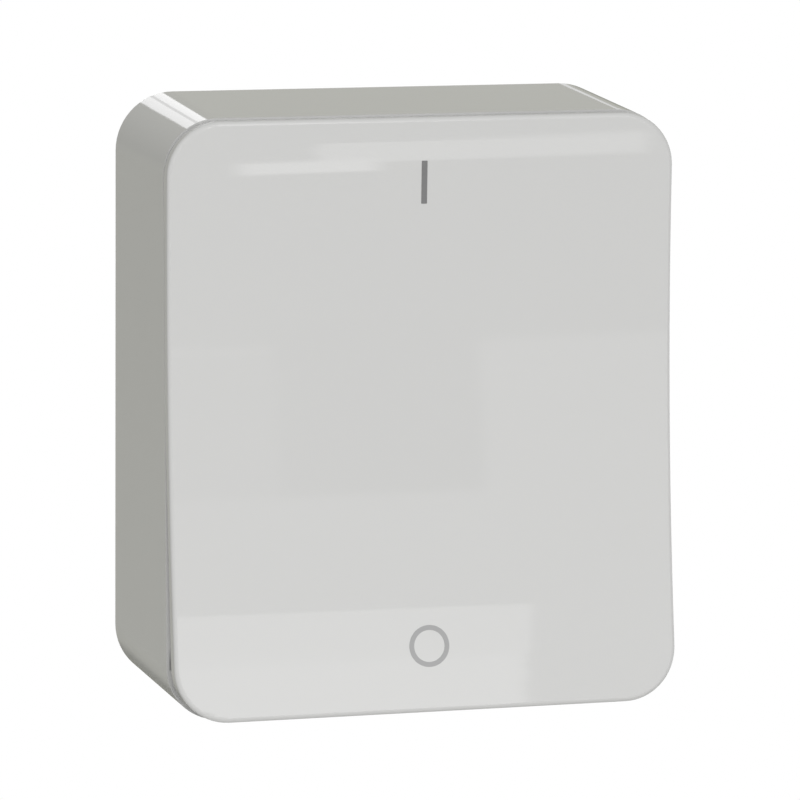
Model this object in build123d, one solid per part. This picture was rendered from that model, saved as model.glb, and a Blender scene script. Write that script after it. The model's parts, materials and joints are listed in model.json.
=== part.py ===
from build123d import *
import os
from math import cos, radians, sin, tan

# Surface-mounted two-pole light switch with a full-front rocker.
# The wall is the plane y = 0, the room is towards -Y, +Z is up and +X is the viewer's right.
# A depth is a distance from the wall, so a point at depth d has y = -d.
# The rocker stands in its ON position, with its upper end pressed in.

# Housing: width, height and corners are those of its front opening
width = 66.0
height = 76.2
corner_radius = 6.9
draft = 1.25               # degrees that the outside widens towards the wall
wall = 1.8
rim_land = 0.7             # flat left on the rim outside its inner lead-in
rake = 2.0                 # degrees that the front opening leans back
deck_thickness = 1.6
deck_window_clearance = 0.4
knockout_width = 14.0
knockout_skin = 0.8        # wall left outside a knock-out, not counting the draft
knockout_depth = 9.0

# Rocker cap
swing = 2.4                # degrees from the middle position to ON or to OFF
hollow = 2.2               # how far the ends of the front stand out past its middle
lip = 1.8                  # plate thickness on the centre line
lip_root = 0.9             # plate kept in front of the roots of skirt, ribs and clips
lip_gap = 0.2              # pressed lip to rim
end_inset = 0.35           # keeps the swinging ends inside the housing's outline
edge_round = 0.6
skirt = 1.4
skirt_depth = 5.0          # behind the rim
skirt_side_clearance = 0.3
skirt_end_clearance = 0.6
rib = 1.2
rib_depth = 2.0
cap_rise = 5.3             # pivot axis to the middle of the front

# Wall plate
plate_thickness = 2.5
plate_clearance = 0.25
fixing_inset = 6.3         # housing wall to the middle of a fixing slot
slot_width = 4.2
slot_length = 7.0
entry_radius = 5.0
entry_offset = 14.0        # cable entry and earth terminal, each side of the centre line
collar = 1.2
collar_height = 2.0
post_radius = 3.0
post_inset = 5.2           # post centre to the inside of the housing walls
boss_radius = 2.8
boss_height = 4.0

# Mechanism tray and cover
side_room = 8.2            # housing wall to tray
end_room = 14.35
tray_wall = 1.6
tray_floor = 2.0
tray_height = 14.5
terminal_room = 6.2
strip_room = 2.0           # passage for the contact strips under the cross walls
cover_thickness = 1.5
cover_stand = 2.9          # cover in front of the deck
lug_thickness = 2.0
window_clearance = 1.6

# Rocker bearing
pin_radius = 2.0
pin_clearance = 0.05
ear = 1.0                  # wall round the bearing hole
ear_thickness = 3.4
ear_setback = 1.2          # ear to the side of the cover
cheek = 1.8
cheek_clearance = 0.4
cradle_plate = 1.3
cradle_width = 10.0
cradle_drop = 2.4          # front of the cradle plate to the middle of the cap's front
clip = 1.2
clip_clearance = 0.1
clip_barb = 0.6
clip_barb_height = 0.5
clip_length = 20.0

# Plungers and springs
guide_radius = 4.0
bore_radius = 2.5
guide_length = 8.1
plunger_clearance = 0.1
plunger_shank = 5.5
nose_radius = 1.5
neck_relief = 0.4          # neck behind the nose, clear of the tilting fork
spring_wire = 0.6
spring_turns = 3

# Contacts
pivot_spacing = 15.0       # rocker axis to lever axis
lever_ratio = 2.0          # the levers turn this many times the rocker's angle, the other way
strip = 1.0
strip_width = 5.0
seat_height = 2.5          # strip to lever axis
seat_length = 4.4
hump_radius = 1.0
lever_thickness = 1.0
lever_upper = 9.0
lever_end = 1.6            # lever past the middle of its contact tip
lever_clearance = 0.6
fork = 0.8
fork_clearance = 0.1
fork_overlap = 1.6         # fork past the middle of the plunger's nose
tip_radius = 1.3
tip_height = 1.2
tip_crown = 3.0
contact_gap = 0.05
contact_creepage = 3.5     # pivot strip to fixed strip

# Terminals
terminal_width = 7.0
terminal_clearance = 0.2
terminal_height = 8.5
wire_radius = 1.7
wire_height = 3.0
wire_guide_clearance = 0.4
earth_height = 6.5
earth_wire_height = 2.6

# Screws: shank radius, head radius, head height
housing_screw = (1.2, 2.4, 1.7)
mechanism_screw = (1.2, 2.2, 1.6)
cover_screw = (1.0, 2.1, 1.4)
terminal_screw = (1.6, 2.8, 2.0)
screw_clearance = 0.05
head_clearance = 0.5
screw_slot = 0.7
housing_screw_reach = 8.0
mechanism_screw_reach = 4.5
cover_screw_reach = 8.0

# Places that follow from the sizes above, from the wall outwards
inner_width = width - 2 * wall
inner_height = height - 2 * wall
inner_radius = corner_radius - wall
fixing_spacing = inner_height - 2 * fixing_inset
tray_width = inner_width - 2 * side_room
tray_length = inner_height - 2 * end_room
floor_front = plate_thickness + tray_floor
strip_front = floor_front + strip
lever_depth = strip_front + seat_height
pivot_depth = lever_depth + pivot_spacing
cover_back = plate_thickness + tray_height
cover_front = cover_back + cover_thickness
deck_front = cover_front - cover_stand
deck_back = deck_front - deck_thickness
front_depth = pivot_depth + cap_rise
lip_back = front_depth - lip
rim_depth = lip_back - lip_gap
nose_depth = pivot_depth - pivot_spacing * lever_ratio / (1 + lever_ratio)
cradle_front = front_depth - cradle_drop
cradle_back = cradle_front - cradle_plate
guide_back = cradle_back - guide_length
bore_front = cradle_back
lug_back = plate_thickness + boss_height
lug_front = lug_back + lug_thickness
lever_back = lever_depth + hump_radius
lever_front = lever_back + lever_thickness
cross_wall = tray_length / 2 - tray_wall - terminal_room
pole_x = (tray_width / 2 - tray_wall + tray_wall / 2) / 2
terminal_z = tray_length / 2 - tray_wall - terminal_room / 2
terminal_front = strip_front + terminal_height
contact_arm = cross_wall - tray_wall - lever_clearance - lever_end
ear_outer = tray_width / 2 - ear_setback
ear_inner = ear_outer - ear_thickness
cheek_outer = ear_inner - cheek_clearance
ear_radius = pin_radius + pin_clearance + ear
entry_z = tray_length / 2 + end_room / 2
boss_x = tray_width / 2 + boss_radius + plate_clearance
post_x = inner_width / 2 - post_inset
post_z = inner_height / 2 - post_inset
lever_swing = swing * lever_ratio

pivot_axis = Axis((0, -pivot_depth, 0), (1, 0, 0))
lever_axis = Axis((0, -lever_depth, 0), (1, 0, 0))
sides = {"left": -1, "right": 1}


def plate(sketch, back, front):
    return extrude(Plane.XZ.offset(back) * sketch, amount=front - back)


def block(size_x, size_z, back, front, x=0, z=0):
    return plate(Pos(x, z) * Rectangle(size_x, size_z), back, front)


def rod(radius, back, front, x=0, z=0):
    return plate(Pos(x, z) * Circle(radius), back, front)


def side_rectangle(back, front, low, high):
    return Pos(-(back + front) / 2, (low + high) / 2) * Rectangle(front - back, high - low)


def side_disc(radius, depth, z=0):
    return Pos(-depth, z) * Circle(radius)


def across(sketch, size_x, x=0):
    return extrude(Plane.YZ.offset(x - size_x / 2) * sketch, amount=size_x)


def upright(radius, low, high, x, depth):
    return extrude(Plane.XY.offset(low) * Pos(x, -depth) * Circle(radius), amount=high - low)


def inside_outline(inset):
    return RectangleRounded(inner_width - 2 * inset, inner_height - 2 * inset, inner_radius - inset)


def skirt_outline(inset):
    side = wall + skirt_side_clearance + inset
    end = wall + skirt_end_clearance + inset
    return RectangleRounded(width - 2 * side, height - 2 * end, corner_radius - side)


def slotted_screw(sizes, seat, reach, x, z):
    shank_radius, head_radius, head_height = sizes
    head_front = seat + head_height
    screw = rod(shank_radius, seat - reach, seat, x, z) + rod(head_radius, seat, head_front, x, z)
    groove = block(2 * head_radius, screw_slot, head_front - head_height / 2, head_front, x, z)
    return screw - groove


def screw_set(sizes, seat, reach, places):
    return Compound(children=[slotted_screw(sizes, seat, reach, x, z) for x, z in places])


def pilot_hole(sizes, seat, reach, x, z):
    return rod(sizes[0] + screw_clearance, seat - reach - head_clearance, seat, x, z)


def in_pairs(x, z):
    return [(-x, z), (x, -z)]


def make_wall_plate():
    body = plate(inside_outline(plate_clearance), 0, plate_thickness)
    collar_front = plate_thickness + collar_height
    body += rod(entry_radius + collar, plate_thickness, collar_front, -entry_offset, entry_z)
    body -= rod(entry_radius, 0, collar_front, -entry_offset, entry_z)
    for x, z in in_pairs(post_x, post_z):
        body += rod(post_radius, plate_thickness, deck_back, x, z)
        body -= pilot_hole(housing_screw, deck_back, housing_screw_reach - deck_thickness, x, z)
    for x in (-boss_x, boss_x):
        body += rod(boss_radius, plate_thickness, lug_back, x)
        body -= pilot_hole(mechanism_screw, lug_back, mechanism_screw_reach - lug_thickness, x, 0)
    for z in (-fixing_spacing / 2, fixing_spacing / 2):
        body -= plate(Pos(0, z) * SlotOverall(slot_length, slot_width, rotation=90), 0, plate_thickness)
    return body


def make_housing():
    deepest = front_depth + height * tan(radians(rake))
    flare = rim_depth * tan(radians(draft))
    foot = RectangleRounded(width + 2 * flare, height + 2 * flare, corner_radius + flare)
    body = extrude(Plane.XZ * foot, amount=deepest, taper=draft)
    body -= plate(inside_outline(0), 0, deepest)
    window = Rectangle(tray_width + 2 * deck_window_clearance, tray_length + 2 * deck_window_clearance)
    deck = plate(inside_outline(0) - window, deck_back, deck_front)
    for x, z in in_pairs(post_x, post_z):
        deck -= rod(housing_screw[0] + head_clearance, deck_back, deck_front, x, z)
    body += deck
    in_front = block(2 * width, 2 * height, rim_depth, rim_depth + height)
    body -= in_front.rotate(pivot_axis, -rake)
    rim = body.faces().sort_by(Axis.Y)[0]
    body = chamfer(rim.inner_wires()[0].edges(), wall - rim_land)
    knockout_front = plate_thickness + knockout_depth
    for z in (-height / 2 + knockout_skin, height / 2 - knockout_skin):
        thinned = wall - knockout_skin
        middle = z - thinned / 2 if z > 0 else z + thinned / 2
        body -= block(knockout_width, thinned, plate_thickness, knockout_front, 0, middle)
    return body


def make_housing_screws():
    return screw_set(housing_screw, deck_front, housing_screw_reach, in_pairs(post_x, post_z))


def make_mechanism_body():
    body = block(tray_width, tray_length, plate_thickness, cover_back)
    body -= block(tray_width - 2 * tray_wall, tray_length - 2 * tray_wall, floor_front, cover_back)
    body += block(tray_wall, tray_length - tray_wall, floor_front, cover_back)
    passage = strip_front + strip_room
    for z in (-cross_wall, cross_wall):
        middle = z - tray_wall / 2 if z > 0 else z + tray_wall / 2
        body += block(tray_width - tray_wall, tray_wall, passage, cover_back, 0, middle)
        boss_z = terminal_z if z > 0 else -terminal_z
        body += rod(cover_screw[1], floor_front, cover_back, 0, boss_z)
        body -= pilot_hole(cover_screw, cover_back, cover_screw_reach - cover_thickness, 0, boss_z)
    for x in (-boss_x, boss_x):
        inner = tray_width / 2 - tray_wall
        reach = Rectangle(abs(x) - inner, 2 * boss_radius)
        middle = (abs(x) + inner) / 2 * (1 if x > 0 else -1)
        lug = Pos(middle, 0) * reach + Pos(x, 0) * Circle(boss_radius)
        solid = plate(lug, lug_back, lug_front)
        solid -= block(2 * inner, tray_length, lug_back, lug_front)
        body += solid
        body -= rod(mechanism_screw[0] + screw_clearance, lug_back, lug_front, x)
    guide = wire_radius + wire_guide_clearance
    for x in (-pole_x, pole_x):
        body -= upright(guide, tray_length / 2 - tray_wall, tray_length / 2, x, strip_front + wire_height)
        body -= upright(guide, -tray_length / 2, -tray_length / 2 + tray_wall, x, strip_front + wire_height)
    return body


def make_mechanism_screws():
    return screw_set(mechanism_screw, lug_front, mechanism_screw_reach, in_pairs(boss_x, 0))


def make_mechanism_cover():
    body = block(tray_width, tray_length, cover_back, cover_front)
    window_x = 2 * (pole_x + guide_radius + window_clearance)
    body -= block(window_x, 2 * (guide_radius + window_clearance), cover_back, cover_front)
    upright_part = side_rectangle(cover_front, pivot_depth, -ear_radius, ear_radius)
    ear_shape = upright_part + side_disc(ear_radius, pivot_depth)
    ear_shape -= side_disc(pin_radius + pin_clearance, pivot_depth)
    for x in (-1, 1):
        body += across(ear_shape, ear_thickness, x * (ear_inner + ear_thickness / 2))
    access = terminal_screw[1] + head_clearance
    for z in (-terminal_z, terminal_z):
        body -= rod(cover_screw[0] + screw_clearance, cover_back, cover_front, 0, z)
        for x in (-pole_x, pole_x):
            body -= rod(access, cover_back, cover_front, x, z)
    return body


def make_cover_screws():
    return screw_set(cover_screw, cover_front, cover_screw_reach, in_pairs(0, terminal_z))


def make_terminal(x, z):
    length = terminal_room - 2 * terminal_clearance
    body = block(terminal_width, length, strip_front, terminal_front, x, z)
    wire_depth = strip_front + wire_height
    body -= upright(wire_radius, z - length / 2, z + length / 2, x, wire_depth)
    return body - rod(terminal_screw[0] + screw_clearance, wire_depth, terminal_front, x, z)


def make_terminal_screws():
    reach = terminal_front - strip_front - wire_height
    places = [(x, z) for z in (terminal_z, -terminal_z) for x in (-pole_x, pole_x)]
    return screw_set(terminal_screw, terminal_front, reach, places)


def make_pivot_contact(x):
    high = terminal_z + terminal_room / 2 - terminal_clearance
    low = -seat_length / 2
    foot = block(strip_width, high - low, floor_front, strip_front, x, (high + low) / 2)
    seat = side_rectangle(strip_front, lever_depth, -seat_length / 2, seat_length / 2)
    seat -= side_disc(hump_radius + pin_clearance, lever_depth)
    return foot + across(seat, strip_width, x)


def closed_tip():
    # Place of the moving tip's crown once the lever has closed: depth of its top, and its height
    crown = lever_back - tip_height + tip_crown - lever_depth
    angle = radians(lever_swing)
    depth = lever_depth + crown * cos(angle) - contact_arm * sin(angle) - tip_crown
    return depth, -crown * sin(angle) - contact_arm * cos(angle)


def make_fixed_contact(x):
    low = -(terminal_z + terminal_room / 2 - terminal_clearance)
    high = -seat_length / 2 - contact_creepage
    return block(strip_width, high - low, floor_front, strip_front, x, (high + low) / 2)


def make_fixed_tip(x):
    depth, z = closed_tip()
    return rod(tip_radius, strip_front, depth - contact_gap, x, z)


def make_contact_lever(x):
    flat = side_rectangle(lever_back, lever_front, -contact_arm - lever_end, lever_upper)
    hump = side_rectangle(lever_depth, lever_back, -hump_radius, hump_radius)
    hump += side_disc(hump_radius, lever_depth)
    inner = nose_radius + fork_clearance
    fork_front = nose_depth + fork_overlap
    prongs = side_rectangle(lever_front, fork_front, inner, inner + fork)
    prongs += side_rectangle(lever_front, fork_front, -inner - fork, -inner)
    return across(flat + hump + prongs, strip_width, x).rotate(lever_axis, lever_swing)


def make_moving_tip(x):
    tip_back = lever_back - tip_height
    crown = Pos(x, -(tip_back + tip_crown), -contact_arm) * Sphere(tip_crown)
    return (rod(tip_radius, tip_back, lever_back, x, -contact_arm) & crown).rotate(lever_axis, lever_swing)


def make_earth_terminal():
    earth_front = plate_thickness + earth_height
    wire_depth = plate_thickness + earth_wire_height
    body = block(terminal_width, terminal_width, plate_thickness, earth_front, entry_offset, entry_z)
    wire_way = Pos(-wire_depth, entry_z) * Circle(wire_radius)
    body -= across(wire_way, terminal_width, entry_offset)
    return body - rod(terminal_screw[0] + screw_clearance, wire_depth, earth_front, entry_offset, entry_z)


def make_earth_screw():
    earth_front = plate_thickness + earth_height
    reach = earth_height - earth_wire_height
    return slotted_screw(terminal_screw, earth_front, reach, entry_offset, entry_z)


def make_cap_plate():
    # In the frame of the rim, before its rake: a flat outline with a hollow front and a ridged back
    half = height / 2
    front_radius = (half * half + hollow * hollow) / (2 * hollow)
    middle = -(front_depth - pivot_depth) * tan(radians(rake))
    outline = Pos(0, middle) * RectangleRounded(width, height - 2 * end_inset, corner_radius)
    body = plate(outline, lip_back - skirt_depth, front_depth + height)
    body -= across(side_disc(front_radius, front_depth + front_radius), 2 * width)
    behind = block(2 * width, 3 * height, lip_back - height, lip_back, 0, height)
    ridge = Axis((0, -lip_back, 0), (1, 0, 0))
    body -= behind.rotate(ridge, swing)
    body -= behind.mirror(Plane.XY).rotate(ridge, -swing)
    rims = body.faces().filter_by(GeomType.CYLINDER).sort_by(SortBy.AREA)[-1]
    body = fillet(rims.edges(), edge_round)
    root_front = lip_back + half * tan(radians(swing)) + lip_root
    ring = plate(skirt_outline(0) - skirt_outline(skirt), rim_depth - skirt_depth, root_front)
    rib_length = height - 2 * (wall + skirt_end_clearance) - skirt
    for x in (-1, 1):
        rib_x = x * (ear_outer + ear_thickness)
        ring += block(rib, rib_length, lip_back - rib_depth, root_front, rib_x)
    in_front = across(side_disc(front_radius + lip_root, front_depth + front_radius), 2 * width)
    return body + (ring - in_front)


def make_rocker_cap():
    body = make_cap_plate().rotate(pivot_axis, -rake)
    body += block(2 * cheek_outer, cradle_width, cradle_front, front_depth - lip_root)
    inner = cradle_width / 2 + clip_clearance
    clip_back = cradle_back - clip_barb_height - clip_clearance
    hook = side_rectangle(clip_back, front_depth - lip_root, inner, inner + clip)
    hook += side_rectangle(clip_back, clip_back + clip_barb_height, inner - clip_barb, inner)
    clip_bar = across(hook, clip_length)
    body += clip_bar
    body += clip_bar.mirror(Plane.XY)
    return body.rotate(pivot_axis, -swing)


def make_rocker_cradle():
    body = block(2 * cheek_outer, cradle_width, cradle_back, cradle_front)
    cheek_radius = pin_radius + cheek / 2
    cheek_shape = side_rectangle(pivot_depth, cradle_back, -cheek_radius, cheek_radius)
    cheek_shape += side_disc(cheek_radius, pivot_depth)
    for x in (-1, 1):
        body += across(cheek_shape, cheek, x * (cheek_outer - cheek / 2))
        pin_length = ear_outer - cheek_outer
        pin_middle = cheek_outer + pin_length / 2
        body += across(side_disc(pin_radius, pivot_depth), pin_length, x * pin_middle)
        body += rod(guide_radius, guide_back, cradle_back, x * pole_x)
        body -= rod(bore_radius, guide_back, bore_front, x * pole_x)
    return body.rotate(pivot_axis, -swing)


def make_plunger(x):
    radius = bore_radius - plunger_clearance
    neck = nose_radius - neck_relief
    shoulder = nose_depth + fork_overlap + lever_clearance
    top = shoulder + plunger_shank
    profile = Polyline((0, top), (radius, top), (radius, shoulder),
                       (neck, shoulder), (neck, nose_depth), (0, nose_depth), close=True)
    shank = revolve(Plane.XZ * make_face(profile), Axis.Z)
    nose = Pos(0, 0, nose_depth) * Sphere(nose_radius)
    return (Plane.XZ * Pos(x, 0, 0) * (shank + nose)).rotate(pivot_axis, -swing)


def make_plunger_spring(x):
    back = nose_depth + fork_overlap + lever_clearance + plunger_shank
    room = bore_front - back
    coil_radius = bore_radius - 2 * plunger_clearance - spring_wire / 2
    path = Helix(pitch=(room - spring_wire) / spring_turns, height=room - spring_wire, radius=coil_radius)
    section = Plane(origin=path @ 0, z_dir=path % 0) * RegularPolygon(spring_wire / 2, 6)
    coil = sweep(section, path=path, is_frenet=True)
    placed = Plane.XZ.offset(back + spring_wire / 2) * Pos(x, 0, 0) * coil
    return placed.rotate(pivot_axis, -swing)


nodes = {
    "wall_plate": make_wall_plate(),
    "housing": make_housing(),
    "housing_screws": make_housing_screws(),
    "mechanism_body": make_mechanism_body(),
    "mechanism_cover": make_mechanism_cover(),
    "mechanism_screws": make_mechanism_screws(),
    "cover_screws": make_cover_screws(),
    "terminal_screws": make_terminal_screws(),
    "earth_terminal": make_earth_terminal(),
    "earth_terminal_screw": make_earth_screw(),
    "rocker_cap": make_rocker_cap(),
    "rocker_cradle": make_rocker_cradle(),
}
for side, sign in sides.items():
    x = sign * pole_x
    nodes["line_terminal_" + side] = make_terminal(x, terminal_z)
    nodes["load_terminal_" + side] = make_terminal(x, -terminal_z)
    nodes["pivot_contact_" + side] = make_pivot_contact(x)
    nodes["fixed_contact_" + side] = make_fixed_contact(x)
    nodes["fixed_contact_tip_" + side] = make_fixed_tip(x)
    nodes["contact_lever_" + side] = make_contact_lever(x)
    nodes["moving_contact_tip_" + side] = make_moving_tip(x)
    nodes["plunger_" + side] = make_plunger(x)
    nodes["plunger_spring_" + side] = make_plunger_spring(x)

os.makedirs("parts", exist_ok=True)
for name, shape in nodes.items():
    export_step(shape, "parts/" + name + ".step")
print(len(nodes), "nodes; rocker axis depth", pivot_depth, "lever axis depth", lever_depth)
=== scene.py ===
import json
import math

import bmesh
import bpy
from mathutils import Matrix, Vector


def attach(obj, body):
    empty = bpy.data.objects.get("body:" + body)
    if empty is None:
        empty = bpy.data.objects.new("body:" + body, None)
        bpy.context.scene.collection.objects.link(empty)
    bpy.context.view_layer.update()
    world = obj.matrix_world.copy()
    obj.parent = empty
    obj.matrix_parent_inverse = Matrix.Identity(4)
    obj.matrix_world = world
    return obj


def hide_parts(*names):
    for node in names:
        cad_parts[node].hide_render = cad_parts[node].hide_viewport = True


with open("model.json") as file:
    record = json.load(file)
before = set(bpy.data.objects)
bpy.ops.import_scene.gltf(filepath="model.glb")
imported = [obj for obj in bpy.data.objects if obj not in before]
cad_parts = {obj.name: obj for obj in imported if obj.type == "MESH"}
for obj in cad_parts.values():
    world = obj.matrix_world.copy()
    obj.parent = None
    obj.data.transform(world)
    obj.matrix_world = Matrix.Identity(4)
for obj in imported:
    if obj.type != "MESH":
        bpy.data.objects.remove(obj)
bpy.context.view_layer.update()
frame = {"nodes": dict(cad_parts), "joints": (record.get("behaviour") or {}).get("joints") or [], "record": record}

nodes = frame["nodes"]
scene = bpy.context.scene
scene.view_settings.view_transform = "Standard"
mm = 0.001


# small helpers for node trees and objects

socketKinds = {"number": "NodeSocketFloat", "colour": "NodeSocketColor", "choice": "NodeSocketBool",
               "shape": "NodeSocketGeometry", "object": "NodeSocketObject", "material": "NodeSocketMaterial"}


def startGroup(name, treeKind, inputs, outputs):
    tree = bpy.data.node_groups.new(name, treeKind)
    for side, sockets in (("INPUT", inputs), ("OUTPUT", outputs)):
        for label, kind in sockets.items():
            tree.interface.new_socket(label, in_out=side, socket_type=socketKinds[kind])
    return tree, tree.nodes.new("NodeGroupInput"), tree.nodes.new("NodeGroupOutput")


def wire(tree, node, terms):  # a term is another node's output, or a plain value
    for label, term in terms.items():
        if isinstance(term, bpy.types.NodeSocket):
            tree.links.new(term, node.inputs[label])
        else:
            node.inputs[label].default_value = term


def addNode(tree, kind, settings=None, **terms):
    node = tree.nodes.new(kind)
    for label, value in (settings or {}).items():
        setattr(node, label, value)
    wire(tree, node, {label.replace("_", " "): term for label, term in terms.items()})
    return node


def calc(tree, operation, *terms):
    node = addNode(tree, "ShaderNodeMath", {"operation": operation})
    wire(tree, node, dict(enumerate(terms)))
    return node.outputs["Value"]


def vectorCalc(tree, operation, *terms, **named):
    node = addNode(tree, "ShaderNodeVectorMath", {"operation": operation}, **named)
    wire(tree, node, dict(enumerate(terms)))
    return node.outputs["Value" if operation in ("DOT_PRODUCT", "LENGTH") else "Vector"]


def ramp(tree, value, low, high, toLow, toHigh, kind="LINEAR"):
    node = addNode(tree, "ShaderNodeMapRange", {"interpolation_type": kind}, Value=value,
                   From_Min=low, From_Max=high, To_Min=toLow, To_Max=toHigh)
    return node.outputs["Result"]


def cover(tree, share, under, over):
    node = addNode(tree, "ShaderNodeMix", {"data_type": "RGBA"}, Factor=share, A=under, B=over)
    return node.outputs["Result"]


def addObject(name, data):
    thing = bpy.data.objects.new(name, data)
    scene.collection.objects.link(thing)
    return thing


# moulded plastic: the melt leaves faint clouds in its shade, and a fine grain in its gloss and its skin

flow = {"cloudDetail": 3.0, "cloudRoughness": 0.55, "grainDetail": 2.0,
        "middle": 0.5}  # middle of a noise's range


def buildMouldFlow():
    tree, given, out = startGroup(
        "mouldFlow", "ShaderNodeTree",
        {"Colour": "colour", "Cloud Depth": "number", "Cloud Scale": "number",
         "Gloss": "number", "Gloss Spread": "number", "Grain Scale": "number"},
        {"Colour": "colour", "Roughness": "number", "Height": "number"})
    place = addNode(tree, "ShaderNodeTexCoord").outputs["Object"]
    cloud = addNode(tree, "ShaderNodeTexNoise", Vector=place, Scale=given.outputs["Cloud Scale"],
                    Detail=flow["cloudDetail"], Roughness=flow["cloudRoughness"]).outputs["Fac"]
    grain = addNode(tree, "ShaderNodeTexNoise", Vector=place, Scale=given.outputs["Grain Scale"],
                    Detail=flow["grainDetail"]).outputs["Fac"]
    shade = calc(tree, "MULTIPLY_ADD", calc(tree, "SUBTRACT", cloud, flow["middle"]),
                 given.outputs["Cloud Depth"], 1.0)
    gloss = calc(tree, "MULTIPLY_ADD", calc(tree, "SUBTRACT", grain, flow["middle"]),
                 given.outputs["Gloss Spread"], given.outputs["Gloss"])
    tint = vectorCalc(tree, "SCALE", given.outputs["Colour"], Scale=shade)
    wire(tree, out, {"Colour": tint, "Roughness": gloss, "Height": grain})
    return tree


# drawn or stamped metal: streaks along one direction and a little dull bloom

draw = {"bloomDetail": 4.0, "bloomFrom": 0.35, "bloomFull": 0.7, "streakDetail": 2.0}


def buildMetalDraw():
    tree, given, out = startGroup(
        "metalDraw", "ShaderNodeTree",
        {"Colour": "colour", "Bloom": "colour", "Bloom Share": "number", "Bloom Scale": "number",
         "Streak Scale": "number", "Streak Length": "number", "Gloss": "number", "Gloss Spread": "number"},
        {"Colour": "colour", "Roughness": "number", "Height": "number"})
    place = addNode(tree, "ShaderNodeTexCoord").outputs["Object"]
    bloom = addNode(tree, "ShaderNodeTexNoise", Vector=place, Scale=given.outputs["Bloom Scale"],
                    Detail=draw["bloomDetail"]).outputs["Fac"]
    stretch = addNode(tree, "ShaderNodeCombineXYZ", X=1.0, Y=1.0,
                      Z=calc(tree, "DIVIDE", 1.0, given.outputs["Streak Length"])).outputs["Vector"]
    streak = addNode(tree, "ShaderNodeTexNoise", Vector=vectorCalc(tree, "MULTIPLY", place, stretch),
                     Scale=given.outputs["Streak Scale"], Detail=draw["streakDetail"]).outputs["Fac"]
    share = calc(tree, "MULTIPLY", ramp(tree, bloom, draw["bloomFrom"], draw["bloomFull"], 0.0, 1.0),
                 given.outputs["Bloom Share"])
    tint = cover(tree, share, given.outputs["Colour"], given.outputs["Bloom"])
    rough = calc(tree, "MULTIPLY_ADD", streak, given.outputs["Gloss Spread"], given.outputs["Gloss"])
    wire(tree, out, {"Colour": tint, "Roughness": rough, "Height": streak})
    return tree


mouldFlow = buildMouldFlow()
metalDraw = buildMetalDraw()


# painted shade on the flat face of the housing's rim, where it lies under the lip of the rocker: darker towards
# its upper and lower ends, and a painted shadow line along its inner edge above the two lower corners, where the
# parting is widest

def paintRimShade(tree, colour, rim, slitShadow):
    lean = math.radians(rim["lean"])
    place = addNode(tree, "ShaderNodeTexCoord").outputs["Object"]
    apart = addNode(tree, "ShaderNodeSeparateXYZ", Vector=place)
    across = calc(tree, "ABSOLUTE", apart.outputs["X"])
    up = apart.outputs["Z"]
    forward = vectorCalc(tree, "DOT_PRODUCT", place, (0, -math.cos(lean), math.sin(lean)))
    upper = ramp(tree, up, rim["low"], rim["high"], rim["lowShade"], rim["highShade"])
    lower = ramp(tree, up, rim["foot"], rim["knee"], rim["footShade"], 1.0)
    inner = ramp(tree, across, slitShadow["edge"], slitShadow["edge"] + slitShadow["soft"], 1.0, 0.0)
    opens = ramp(tree, up, slitShadow["full"], slitShadow["top"], 1.0, 0.0)
    closes = ramp(tree, up, slitShadow["end"], slitShadow["end"] + slitShadow["tail"], 0.0, 1.0)
    dark = calc(tree, "MULTIPLY", inner, calc(tree, "MULTIPLY", opens, closes))
    shade = ramp(tree, dark, 0.0, 1.0, calc(tree, "MULTIPLY", upper, lower), slitShadow["shade"])
    reach = rim["depth"] * math.cos(lean)
    share = ramp(tree, forward, reach - rim["band"], reach, 1.0, shade)
    return vectorCalc(tree, "SCALE", colour, Scale=share)


def finishMaterial(name, group, look):
    material = bpy.data.materials.new(name)
    material.use_nodes = True
    tree = material.node_tree
    shader = tree.nodes["Principled BSDF"]
    effect = addNode(tree, "ShaderNodeGroup", {"node_tree": group})
    wire(tree, effect, look["effect"])
    colour = effect.outputs["Colour"]
    # painted shade on the rim's face under the rocker's lip
    if "rim" in look:
        colour = paintRimShade(tree, colour, look["rim"], look["slitShadow"])
    wire(tree, shader, {"Base Color": colour, "Roughness": effect.outputs["Roughness"]})
    wire(tree, shader, look["shader"])
    if "skin" in look:  # height of the fine skin
        bump = addNode(tree, "ShaderNodeBump", Strength=1.0, Distance=look["skin"],
                       Height=effect.outputs["Height"])
        wire(tree, shader, {"Normal": bump.outputs["Normal"]})
    return material


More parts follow.
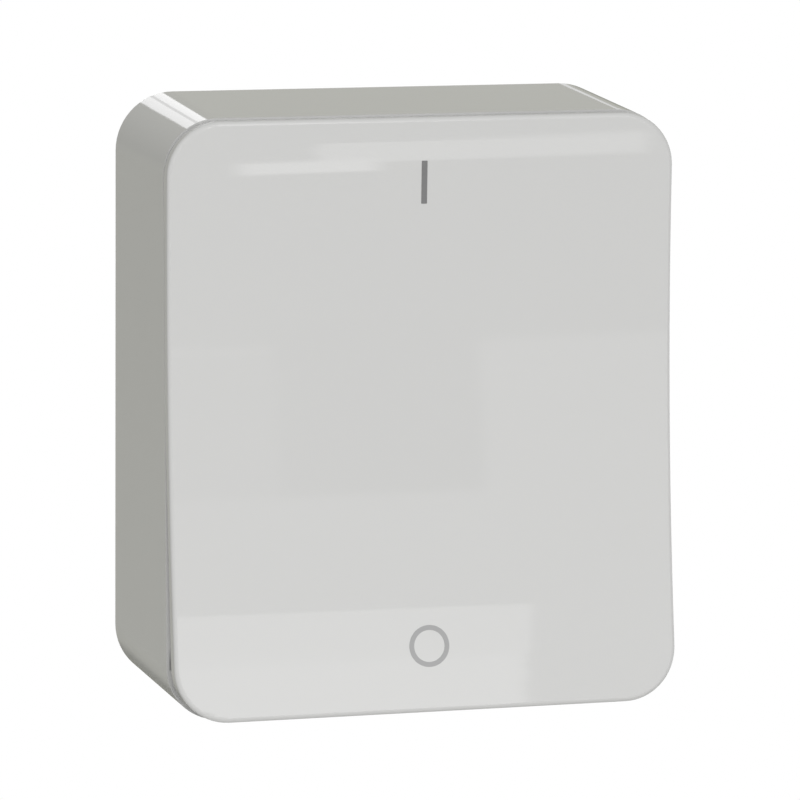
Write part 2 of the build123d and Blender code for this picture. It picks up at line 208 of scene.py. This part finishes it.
plasticLooks = {
    "rockerWhite": {"effect": {"Colour": (0.645, 0.645, 0.635, 1), "Cloud Depth": 0.015, "Cloud Scale": 30.0,
                               "Gloss": 0.012, "Gloss Spread": 0.004, "Grain Scale": 900.0},
                    "shader": {"IOR": 1.5}},
    "housingWhite": {"effect": {"Colour": (0.645, 0.645, 0.635, 1), "Cloud Depth": 0.02, "Cloud Scale": 30.0,
                                "Gloss": 0.06, "Gloss Spread": 0.01, "Grain Scale": 900.0},
                     # painted shade on the rim's face under the rocker's lip, and a painted shadow line where the
                     # parting opens
                     "rim": {"lean": 2.0, "depth": 26.302 * mm,  # degrees, and from the wall at z = 0
                             "band": 0.02 * mm, "low": 5.0 * mm, "high": 30.0 * mm,
                             "lowShade": 0.96, "highShade": 0.76,
                             "foot": -33.5 * mm, "knee": -28.5 * mm, "footShade": 0.84},
                     "slitShadow": {"edge": 32.59 * mm, "soft": 0.03 * mm, "top": -28.4 * mm, "full": -30.4 * mm,
                              "end": -31.6 * mm, "tail": 0.3 * mm, "shade": 0.46},
                     "shader": {"IOR": 1.5}},
    "plateWhite": {"effect": {"Colour": (0.58, 0.58, 0.55, 1), "Cloud Depth": 0.05, "Cloud Scale": 45.0,
                              "Gloss": 0.45, "Gloss Spread": 0.12, "Grain Scale": 2600.0},
                   "skin": 0.02 * mm, "shader": {"IOR": 1.5}},
    "trayGrey": {"effect": {"Colour": (0.36, 0.34, 0.30, 1), "Cloud Depth": 0.14, "Cloud Scale": 160.0,
                            "Gloss": 0.52, "Gloss Spread": 0.15, "Grain Scale": 3200.0},
                 "skin": 0.03 * mm, "shader": {"IOR": 1.55}},
    "cradleNatural": {"effect": {"Colour": (0.60, 0.58, 0.50, 1), "Cloud Depth": 0.08, "Cloud Scale": 90.0,
                                 "Gloss": 0.35, "Gloss Spread": 0.1, "Grain Scale": 2200.0},
                      "skin": 0.01 * mm, "shader": {"IOR": 1.53}},
    "inkDark": {"effect": {"Colour": (0.19, 0.19, 0.19, 1), "Cloud Depth": 0.06, "Cloud Scale": 900.0,
                           "Gloss": 0.12, "Gloss Spread": 0.05, "Grain Scale": 6000.0},
                "shader": {"IOR": 1.5}},
    "inkPale": {"effect": {"Colour": (0.36, 0.36, 0.36, 1), "Cloud Depth": 0.05, "Cloud Scale": 900.0,
                           "Gloss": 0.12, "Gloss Spread": 0.05, "Grain Scale": 6000.0},
                "shader": {"IOR": 1.5}},
}
drawnAlike = {"Bloom Scale": 300.0, "Streak Scale": 2500.0, "Streak Length": 12.0}  # the same on every metal
metalLooks = {
    "stampedBrass": {"effect": {"Colour": (0.79, 0.58, 0.26, 1), "Bloom": (0.50, 0.34, 0.15, 1),
                                "Bloom Share": 0.35, "Gloss": 0.20, "Gloss Spread": 0.16, **drawnAlike},
                     "skin": 0.006 * mm, "shader": {"Metallic": 1.0}},
    "silverContact": {"effect": {"Colour": (0.86, 0.85, 0.82, 1), "Bloom": (0.55, 0.54, 0.52, 1),
                                 "Bloom Share": 0.3, "Gloss": 0.22, "Gloss Spread": 0.12, **drawnAlike},
                      "skin": 0.004 * mm, "shader": {"Metallic": 1.0}},
    "zincPlate": {"effect": {"Colour": (0.66, 0.68, 0.71, 1), "Bloom": (0.56, 0.58, 0.48, 1),
                             "Bloom Share": 0.5, "Gloss": 0.28, "Gloss Spread": 0.14, **drawnAlike},
                  "skin": 0.006 * mm, "shader": {"Metallic": 1.0}},
    "springWire": {"effect": {"Colour": (0.52, 0.53, 0.55, 1), "Bloom": (0.38, 0.37, 0.36, 1),
                              "Bloom Share": 0.4, "Gloss": 0.24, "Gloss Spread": 0.1, **drawnAlike},
                   "shader": {"Metallic": 1.0}},
}
materials = {name: finishMaterial(name, mouldFlow, look) for name, look in plasticLooks.items()}
materials.update({name: finishMaterial(name, metalDraw, look) for name, look in metalLooks.items()})
print("materials:", ", ".join(sorted(materials)))


# CAD nodes keep their shape and take a finish by slot

slotFinish = {"white_plastic": "housingWhite", "plate_plastic": "plateWhite", "tray_plastic": "trayGrey",
              "cradle_plastic": "cradleNatural", "brass": "stampedBrass", "contact_silver": "silverContact",
              "zinc_steel": "zincPlate", "spring_steel": "springWire"}
for part in frame["record"]["subparts"]:
    for slot in nodes[part["node"]].material_slots:
        slot.material = materials[slotFinish[part["material_slot"]]]


# rocker cap: the CAD shape with its hollow front cut into fine strips that lie on the true curve

cap = {"height": 76.2 * mm, "hollow": 2.2 * mm, "rise": 5.3 * mm,  # rise: pivot to the middle of the front
       "lean": 4.4, "strips": 64, "weld": 0.002 * mm, "cutSlack": 0.0001 * mm,
       "onCurve": 0.03 * mm, "facing": 0.99, "sharpFrom": 28.0}


def hollowFront():  # axis, radius and lean of the hollow, with the rocker at rest
    pivot = Vector(next(j["pos_m"] for j in frame["joints"] if j["name"] == "rocker_tilt"))
    half = cap["height"] / 2
    radius = (half * half + cap["hollow"] ** 2) / (2 * cap["hollow"])
    lean = Matrix.Rotation(math.radians(-cap["lean"]), 3, "X")
    centre = pivot + lean @ Vector((0, -cap["rise"] - radius, 0))
    return centre, radius, lean


def cutFront(mesh):
    centre, radius, lean = hollowFront()

    def toAxis(point):  # from a point straight to the axis of the hollow
        return Vector((0, centre.y - point.y, centre.z - point.z))

    def onFront(face):
        inward = toAxis(face.calc_center_median()).normalized()
        spread = max(abs(toAxis(vert.co).length - radius) for vert in face.verts)
        return spread < cap["onCurve"] and face.normal.dot(inward) > cap["facing"]

    front = [face for face in mesh.faces if onFront(face)]
    parts = set(front)
    for face in front:
        parts.update(face.edges)
        parts.update(face.verts)
    sweep = math.asin(cap["height"] / 2 / radius)  # planes through the axis, evenly spread over the front
    for strip in range(1, cap["strips"]):
        turn = Matrix.Rotation(sweep * (2 * strip / cap["strips"] - 1), 3, "X") @ lean
        cut = bmesh.ops.bisect_plane(mesh, geom=list(parts), plane_co=centre,
                                     plane_no=turn @ Vector((0, 0, 1)), dist=cap["cutSlack"])
        parts = set(cut["geom"])
    for vert in [part for part in parts if isinstance(part, bmesh.types.BMVert)]:  # onto the true curve
        arm = toAxis(vert.co)
        vert.co += arm.normalized() * (arm.length - radius)
    return len(front)


def makeRockerCap():
    mesh = bmesh.new()
    mesh.from_mesh(nodes["rocker_cap"].data)
    bmesh.ops.remove_doubles(mesh, verts=mesh.verts, dist=cap["weld"])
    facets = cutFront(mesh)
    for face in mesh.faces:
        face.smooth = True
    for edge in mesh.edges:
        edge.smooth = not edge.is_manifold or edge.calc_face_angle() < math.radians(cap["sharpFrom"])
    data = bpy.data.meshes.new("rockerCap")
    mesh.to_mesh(data)
    mesh.free()
    data.materials.append(materials["rockerWhite"])
    piece = addObject("rockerCap", data)
    weigh = piece.modifiers.new("weighNormals", "WEIGHTED_NORMAL")
    weigh.keep_sharp = True
    print("rocker cap:", facets, "front facets cut,", len(data.polygons), "faces in all")
    return piece


rockerCap = makeRockerCap()
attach(rockerCap, "rocker")
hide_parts("rocker_cap")


# printed marks: a bar at the end that switches on, a ring at the end that switches off

marks = {
    "onMark": {"ring": False, "height": 5.45 * mm, "stroke": 0.75 * mm,
               "x": 0.1 * mm, "z": 29.75 * mm, "material": "inkDark"},
    "offMark": {"ring": True, "height": 5.25 * mm, "stroke": 0.62 * mm,
                "x": 0.15 * mm, "z": -28.93 * mm, "material": "inkPale"},
}
ink = {"thickness": 0.03 * mm, "sunk": 0.02 * mm, "weld": 0.001 * mm, "corner": 0.06 * mm,
       "cornerPoints": 4, "ringPoints": 96, "standOff": 80 * mm}  # standOff: where rays to the front start


def markOutline(tree, given):
    bar = addNode(tree, "GeometryNodeCurvePrimitiveQuadrilateral", {"mode": "RECTANGLE"},
                  Width=given.outputs["Stroke"], Height=given.outputs["Height"])
    softBar = addNode(tree, "GeometryNodeFilletCurve", {"mode": "POLY"}, Curve=bar.outputs["Curve"],
                      Count=ink["cornerPoints"], Radius=ink["corner"])
    outer = calc(tree, "DIVIDE", given.outputs["Height"], 2.0)
    inner = calc(tree, "SUBTRACT", outer, given.outputs["Stroke"])
    rings = addNode(tree, "GeometryNodeJoinGeometry")
    for radius in (outer, inner):
        circle = addNode(tree, "GeometryNodeCurvePrimitiveCircle", {"mode": "RADIUS"},
                         Resolution=ink["ringPoints"], Radius=radius)
        wire(tree, rings, {"Geometry": circle.outputs["Curve"]})
    pick = addNode(tree, "GeometryNodeSwitch", {"input_type": "GEOMETRY"}, Switch=given.outputs["Ring"])
    wire(tree, pick, {"False": softBar.outputs["Curve"], "True": rings.outputs["Geometry"]})
    return pick.outputs["Output"]


def layOnCarrier(tree, given, flat):  # rays find the front, and the mark goes a little under it
    ahead = addNode(tree, "ShaderNodeCombineXYZ", X=given.outputs["Across"], Y=-ink["standOff"],
                    Z=given.outputs["Up"])
    upright = addNode(tree, "GeometryNodeTransform", Geometry=flat, Rotation=(math.pi / 2, 0, 0),
                      Translation=ahead.outputs["Vector"])
    carrier = addNode(tree, "GeometryNodeObjectInfo", Object=given.outputs["Carrier"])
    hit = addNode(tree, "GeometryNodeRaycast", Target_Geometry=carrier.outputs["Geometry"],
                  Ray_Direction=(0, 1, 0), Ray_Length=2 * ink["standOff"])
    under = vectorCalc(tree, "SCALE", hit.outputs["Hit Normal"], Scale=-ink["sunk"])
    laid = addNode(tree, "GeometryNodeSetPosition", Geometry=upright.outputs["Geometry"],
                   Position=vectorCalc(tree, "ADD", hit.outputs["Hit Position"], under))
    return laid.outputs["Geometry"]


def thickenInk(tree, sheet):
    raised = addNode(tree, "GeometryNodeExtrudeMesh", {"mode": "FACES"}, Mesh=sheet,
                     Offset_Scale=ink["thickness"] + ink["sunk"], Individual=False)
    back = addNode(tree, "GeometryNodeFlipFaces", Mesh=sheet)
    whole = addNode(tree, "GeometryNodeJoinGeometry")
    for side in (raised, back):
        wire(tree, whole, {"Geometry": side.outputs["Mesh"]})
    weld = addNode(tree, "GeometryNodeMergeByDistance", Geometry=whole.outputs["Geometry"],
                   Distance=ink["weld"])
    return weld.outputs["Geometry"]


def buildPrintedMark():
    tree, given, out = startGroup(
        "printedMark", "GeometryNodeTree",
        {"Geometry": "shape", "Ring": "choice", "Height": "number", "Stroke": "number",
         "Across": "number", "Up": "number", "Carrier": "object", "Material": "material"},
        {"Geometry": "shape"})
    flat = addNode(tree, "GeometryNodeFillCurve", {"mode": "TRIANGLES"}, Curve=markOutline(tree, given))
    solid = thickenInk(tree, layOnCarrier(tree, given, flat.outputs["Mesh"]))
    real = addNode(tree, "GeometryNodeRealizeInstances", Geometry=solid)
    paint = addNode(tree, "GeometryNodeSetMaterial", Geometry=real.outputs["Geometry"],
                    Material=given.outputs["Material"])
    wire(tree, out, {"Geometry": paint.outputs["Geometry"]})
    return tree


def runTree(name, tree, inputs):
    maker = addObject(name + "Maker", bpy.data.meshes.new(name + "Maker"))
    modifier = maker.modifiers.new(tree.name, "NODES")
    modifier.node_group = tree
    for socket in tree.interface.items_tree:
        if socket.in_out == "INPUT" and socket.name in inputs:
            modifier[socket.identifier] = inputs[socket.name]
    evaluated = maker.evaluated_get(bpy.context.evaluated_depsgraph_get())
    piece = addObject(name, bpy.data.meshes.new_from_object(evaluated))
    bpy.data.objects.remove(maker)
    return piece


printedMark = buildPrintedMark()
for name, mark in marks.items():
    piece = runTree(name, printedMark, {
        "Ring": mark["ring"], "Height": mark["height"], "Stroke": mark["stroke"], "Across": mark["x"],
        "Up": mark["z"], "Carrier": rockerCap, "Material": materials[mark["material"]]})
    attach(piece, "rocker")
    print("printed mark:", name, len(piece.data.polygons), "faces")


# studio: white for the camera, plain panels for the gloss, soft lamps for the shade

tones = {"neutral": (1.0, 1.0, 1.0), "warm": (1.0, 1.0, 0.87)}
studio = {"white": 1.0, "shade": 0.30}  # shade: what matt surfaces get from all around
# a panel: middle azimuth and elevation, width and height, softness of its sides and of its top and bottom,
# all in degrees, then its brightness and its tone; a later panel covers an earlier one
# azimuth 0 faces the rocker, 90 is at the viewer's right and 180 behind the switch
panels = {
    "backFlag": (180, 0, 150, 120, 6, 6, 0.45, "warm"),
    "sideFlag": (-164.5, -10, 16, 14, 3, 3, 0.535, "warm"),
    "backShade": (167, -16.4, 34, 32.0, 4, 4, 0.24, "warm"),
    "edgeCard": (128, -10, 60, 24, 2, 2, 1.0, "neutral"),
    "backLine": (161, 6.5, 24, 2.9, 0.3, 0.3, 0.92, "neutral"),
    "backBoxOne": (180.1, 21, 6.4, 18, 0.3, 0.3, 1.85, "neutral"),
    "backBoxTwo": (173.0, 21, 5.0, 18, 0.3, 0.3, 1.8, "neutral"),
    "backBoxJoint": (176.2, 21, 1.4, 18, 0.3, 0.3, 1.2, "neutral"),
    "paleWall": (16, 28.2, 24, 64, 3.0, 0.15, 1.5, "neutral"),
    "sideCard": (11.0, -1.45, 6.0, 4.4, 0.1, 0.1, 1.2, "neutral"),
    "darkCard": (15.1, -1.95, 2.3, 5.4, 0.1, 0.1, 0.95, "neutral"),
    "frontBox": (11.375, 24.4, 10.75, 40, 0.08, 0.03, 2.6, "neutral"),
    "frontBoxCore": (11.325, 25.9, 10.65, 40, 0.1, 0.3, 3.0, "neutral"),
    "lowStrip": (16.6, -9.8, 3.8, 0.6, 0.15, 0.1, 2.25, "neutral"),
    "lowStripEnd": (14.55, -9.43, 1.6, 0.42, 0.2, 0.08, 3.0, "neutral"),
}
halfTurn = 180.0


def tinted(bright, tone):
    return [bright * part for part in tones[tone]] + [1.0]


def buildPanelMask():
    tree, given, out = startGroup(
        "panelMask", "ShaderNodeTree",
        {"Azimuth": "number", "Elevation": "number", "Middle": "number", "Height": "number",
         "Half Width": "number", "Half Height": "number",
         "Side Softness": "number", "End Softness": "number"},
        {"Mask": "number"})
    turned = calc(tree, "SUBTRACT", given.outputs["Azimuth"], given.outputs["Middle"])
    across = calc(tree, "ABSOLUTE", calc(tree, "WRAP", turned, halfTurn, -halfTurn))
    raised = calc(tree, "SUBTRACT", given.outputs["Elevation"], given.outputs["Height"])
    upwards = calc(tree, "ABSOLUTE", raised)
    sides = []
    for distance, half, soft in ((across, "Half Width", "Side Softness"),
                                 (upwards, "Half Height", "End Softness")):
        inside = calc(tree, "SUBTRACT", given.outputs[half], given.outputs[soft])
        outside = calc(tree, "ADD", given.outputs[half], given.outputs[soft])
        sides.append(ramp(tree, distance, inside, outside, 1.0, 0.0, "SMOOTHSTEP"))
    wire(tree, out, {"Mask": calc(tree, "MULTIPLY", *sides)})
    return tree


def buildWorld():
    world = bpy.data.worlds.new("studio")
    scene.world = world
    world.use_nodes = True
    tree = world.node_tree
    tree.nodes.clear()
    place = addNode(tree, "ShaderNodeTexCoord").outputs["Generated"]
    direction = addNode(tree, "ShaderNodeSeparateXYZ", Vector=place)
    toward = calc(tree, "MULTIPLY", direction.outputs["Y"], -1.0)
    azimuth = calc(tree, "DEGREES", calc(tree, "ARCTAN2", direction.outputs["X"], toward))
    elevation = calc(tree, "DEGREES", calc(tree, "ARCSINE", direction.outputs["Z"]))
    mask = buildPanelMask()
    white = tinted(studio["white"], "neutral")
    shade = tinted(studio["shade"], "neutral")
    glow = white
    for name, (middle, height, width, tall, softSide, softEnd, bright, tone) in panels.items():
        panel = addNode(tree, "ShaderNodeGroup", {"node_tree": mask, "label": name})
        wire(tree, panel, {"Azimuth": azimuth, "Elevation": elevation, "Middle": middle, "Height": height,
                           "Half Width": width / 2, "Half Height": tall / 2,
                           "Side Softness": softSide, "End Softness": softEnd})
        glow = cover(tree, panel.outputs["Mask"], glow, tinted(bright, tone))
    path = addNode(tree, "ShaderNodeLightPath")
    mirrored = calc(tree, "MAXIMUM", path.outputs["Is Glossy Ray"], path.outputs["Is Transmission Ray"])
    light = cover(tree, path.outputs["Is Camera Ray"], cover(tree, mirrored, shade, glow), white)
    back = addNode(tree, "ShaderNodeBackground", Color=light)
    addNode(tree, "ShaderNodeOutputWorld", Surface=back.outputs["Background"])


def around(azimuth, elevation, distance):
    turn = math.radians(azimuth)
    rise = math.radians(elevation)
    level = math.cos(rise)
    return distance * Vector((math.sin(turn) * level, -math.cos(turn) * level, math.sin(rise)))


# a lamp: azimuth and elevation in degrees, distance and size in metres, power in watts
lamps = {
    "frontLamp": (-10, 20, 1.4, 0.8, 13.1),
    "sideLamp": (112, 15, 1.4, 0.8, 5.0),
    "backLamp": (180, 25, 1.4, 0.9, 7.0),
}


def buildLamps():
    for name, (azimuth, elevation, distance, size, power) in lamps.items():
        lamp = bpy.data.lights.new(name, "AREA")
        lamp.size = size
        lamp.energy = power
        holder = addObject(name, lamp)
        holder.location = around(azimuth, elevation, distance)
        holder.rotation_mode = "QUATERNION"
        holder.rotation_quaternion = (-holder.location).to_track_quat("-Z", "Y")
        holder.visible_glossy = False


# floor: a pale disc that fades out towards its rim, and is clear from below so that it hides nothing
floor = {"radius": 0.30, "drop": 0.18, "fade": 0.75, "points": 96,
         "colour": (0.80, 0.80, 0.79, 1), "roughness": 0.9}


def paintFloor():
    paint = bpy.data.materials.new("floorPaint")
    paint.use_nodes = True
    tree = paint.node_tree
    shader = tree.nodes["Principled BSDF"]
    place = addNode(tree, "ShaderNodeTexCoord").outputs["Object"]
    away = vectorCalc(tree, "LENGTH", vectorCalc(tree, "MULTIPLY", place, (1, 1, 0)))
    fade = ramp(tree, away, floor["fade"] * floor["radius"], floor["radius"], 1.0, 0.0, "SMOOTHSTEP")
    below = addNode(tree, "ShaderNodeNewGeometry").outputs["Backfacing"]
    wire(tree, shader, {"Base Color": floor["colour"], "Roughness": floor["roughness"],
                        "Alpha": calc(tree, "SUBTRACT", fade, below)})
    return paint


def buildFloor():
    mesh = bmesh.new()
    bmesh.ops.create_circle(mesh, cap_ends=True, segments=floor["points"], radius=floor["radius"])
    bmesh.ops.translate(mesh, verts=mesh.verts, vec=(0, 0, -floor["drop"]))
    data = bpy.data.meshes.new("floor")
    mesh.to_mesh(data)
    mesh.free()
    data.materials.append(paintFloor())
    piece = addObject("floor", data)


# camera: the photograph's viewing angle, with its slight roll
camera = {"azimuth": -15.572, "elevation": 9.952, "roll": 0.592, "distance": 676.96 * mm,
          "aim": (4.364 * mm, -1.691 * mm, -2.609 * mm), "lens": 231.3, "sensor": 36.0, "clipStart": 10 * mm}


def buildCamera():
    data = bpy.data.cameras.new("camera")
    data.lens = camera["lens"]
    data.sensor_width = camera["sensor"]
    data.clip_start = camera["clipStart"]
    holder = addObject("camera", data)
    back = around(camera["azimuth"], camera["elevation"], 1.0)
    holder.location = Vector(camera["aim"]) + back * camera["distance"]
    level = (-back).to_track_quat("-Z", "Y").to_matrix()
    roll = Matrix.Rotation(math.radians(camera["roll"]), 3, "Z")
    holder.rotation_mode = "QUATERNION"
    holder.rotation_quaternion = (level @ roll).to_quaternion()
    scene.camera = holder


buildWorld()
buildLamps()
buildFloor()
buildCamera()
print("studio:", len(panels), "panels,", len(lamps), "lamps, camera at",
      camera["azimuth"], camera["elevation"])
